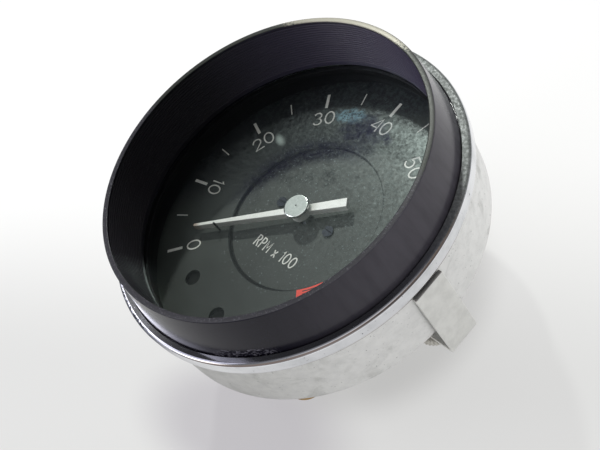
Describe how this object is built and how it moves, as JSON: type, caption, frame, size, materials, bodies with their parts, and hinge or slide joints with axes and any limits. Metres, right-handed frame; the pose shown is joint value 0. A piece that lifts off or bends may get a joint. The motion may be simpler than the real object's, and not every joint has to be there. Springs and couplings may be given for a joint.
{
  "type": "tachometer",
  "caption": "Round cable-driven dashboard tachometer with a deep black hood, chrome bezel, aluminium case, sweeping pointer and rear clamps.",
  "frame": {"origin": "on the instrument's axis, at the open end of the drive spigot, which is the lowest point", "axes": "+Z out of the face along the axis, +Y towards the middle of the scale (40), +X to the right seen from the front"},
  "size_m": [0.1054, 0.1028, 0.0703],
  "materials": {
    "spun_aluminium": "dull, spun, lightly stained",
    "chrome": "bright plating with specks of corrosion",
    "black_anodised": "black anodised, turned, satin",
    "rubber": "matt black",
    "glass": "clear, slightly dusty",
    "black_paint": "matt black",
    "dial_paint": "matt dark grey-green with patina",
    "dark_filter": "dark translucent",
    "black_plastic": "moulded",
    "brass": "bare, dulled",
    "bronze": "sintered",
    "phenolic": "pressed board",
    "bulb_glass": "clear",
    "zinc_casting": "die cast, dull",
    "steel": "plated",
    "blued_steel": "blued",
    "nickel_plate": "dull nickel plate",
    "galvanised_steel": "dull galvanised",
    "pointer_paint": "satin off-white, tip aged brown",
    "satin_metal": "satin",
    "magnet_alloy": "cast"
  },
  "bodies": {
    "case": {"case_shell": "spun_aluminium", "bezel_ring": "chrome", "hood": "black_anodised", "hood_seal": "rubber", "glass_lens": "glass", "glass_retainer": "rubber", "spacer_ring": "black_paint", "support_ring": "spun_aluminium", "dial": "dial_paint", "dial_screws": "black_paint", "dial_rivet": "black_paint", "stop_pin": "blued_steel", "lamp_filters": "dark_filter", "lamp_tubes": "black_plastic", "lamp_sockets": "brass", "lamp_insulators": "phenolic", "lamp_terminals": "brass", "lamp_bulb_caps": "brass", "lamp_bulbs": "bulb_glass", "movement_housing": "zinc_casting", "housing_screws": "steel", "frame_pillars": "brass", "movement_bridge": "zinc_casting", "bridge_screws": "steel", "upper_bearing": "bronze", "hairspring": "blued_steel", "hairspring_stud": "brass", "drive_spigot": "nickel_plate", "drive_bush": "bronze", "clamp_studs": "steel", "earth_tab": "brass", "earth_rivet": "steel"},
    "pointer": {"pointer_arm": "pointer_paint", "pointer_bush": "brass", "hub_cap": "satin_metal", "spindle": "steel", "drag_cup": "spun_aluminium", "spring_collet": "brass"},
    "drive": {"drive_shaft": "steel", "shaft_clip": "blued_steel", "magnet": "magnet_alloy", "field_cup": "steel"},
    "clamp_right": {"clamp_foot_right": "galvanised_steel", "clamp_washer_right": "steel"},
    "nut_right": {"clamp_nut_right": "nickel_plate"},
    "clamp_left": {"clamp_foot_left": "galvanised_steel", "clamp_washer_left": "steel"},
    "nut_left": {"clamp_nut_left": "nickel_plate"}
  },
  "joints": [
    {"name": "pointer_sweep", "type": "hinge", "parent": "case", "child": "pointer", "pos_m": [0, 0, 0.0449], "axis": [0, 0, -1], "range_deg": [0, 262.9], "stiffness_Nm_per_rad": 0.00002, "springref_deg": -11.46},
    {"name": "drive_spin", "type": "hinge", "parent": "case", "child": "drive", "pos_m": [0, 0, 0.014], "axis": [0, 0, 1], "continuous": true},
    {"name": "clamp_slide_right", "type": "slide", "parent": "case", "child": "clamp_right", "axis": [0, 0, -1], "range_m": [0, 0.0035]},
    {"name": "nut_turn_right", "type": "hinge", "parent": "clamp_right", "child": "nut_right", "pos_m": [0.041, 0, 0.0221], "axis": [0, 0, -1], "range_deg": [0, 1800]},
    {"name": "clamp_slide_left", "type": "slide", "parent": "case", "child": "clamp_left", "axis": [0, 0, -1], "range_m": [0, 0.0035]},
    {"name": "nut_turn_left", "type": "hinge", "parent": "clamp_left", "child": "nut_left", "pos_m": [-0.041, 0, 0.0221], "axis": [0, 0, -1], "range_deg": [0, 1800]}
  ],
  "couplings": [
    {"joint": "nut_turn_right", "follows": "clamp_slide_right", "rad_per_m": 8976},
    {"joint": "nut_turn_left", "follows": "clamp_slide_left", "rad_per_m": 8976}
  ]
}
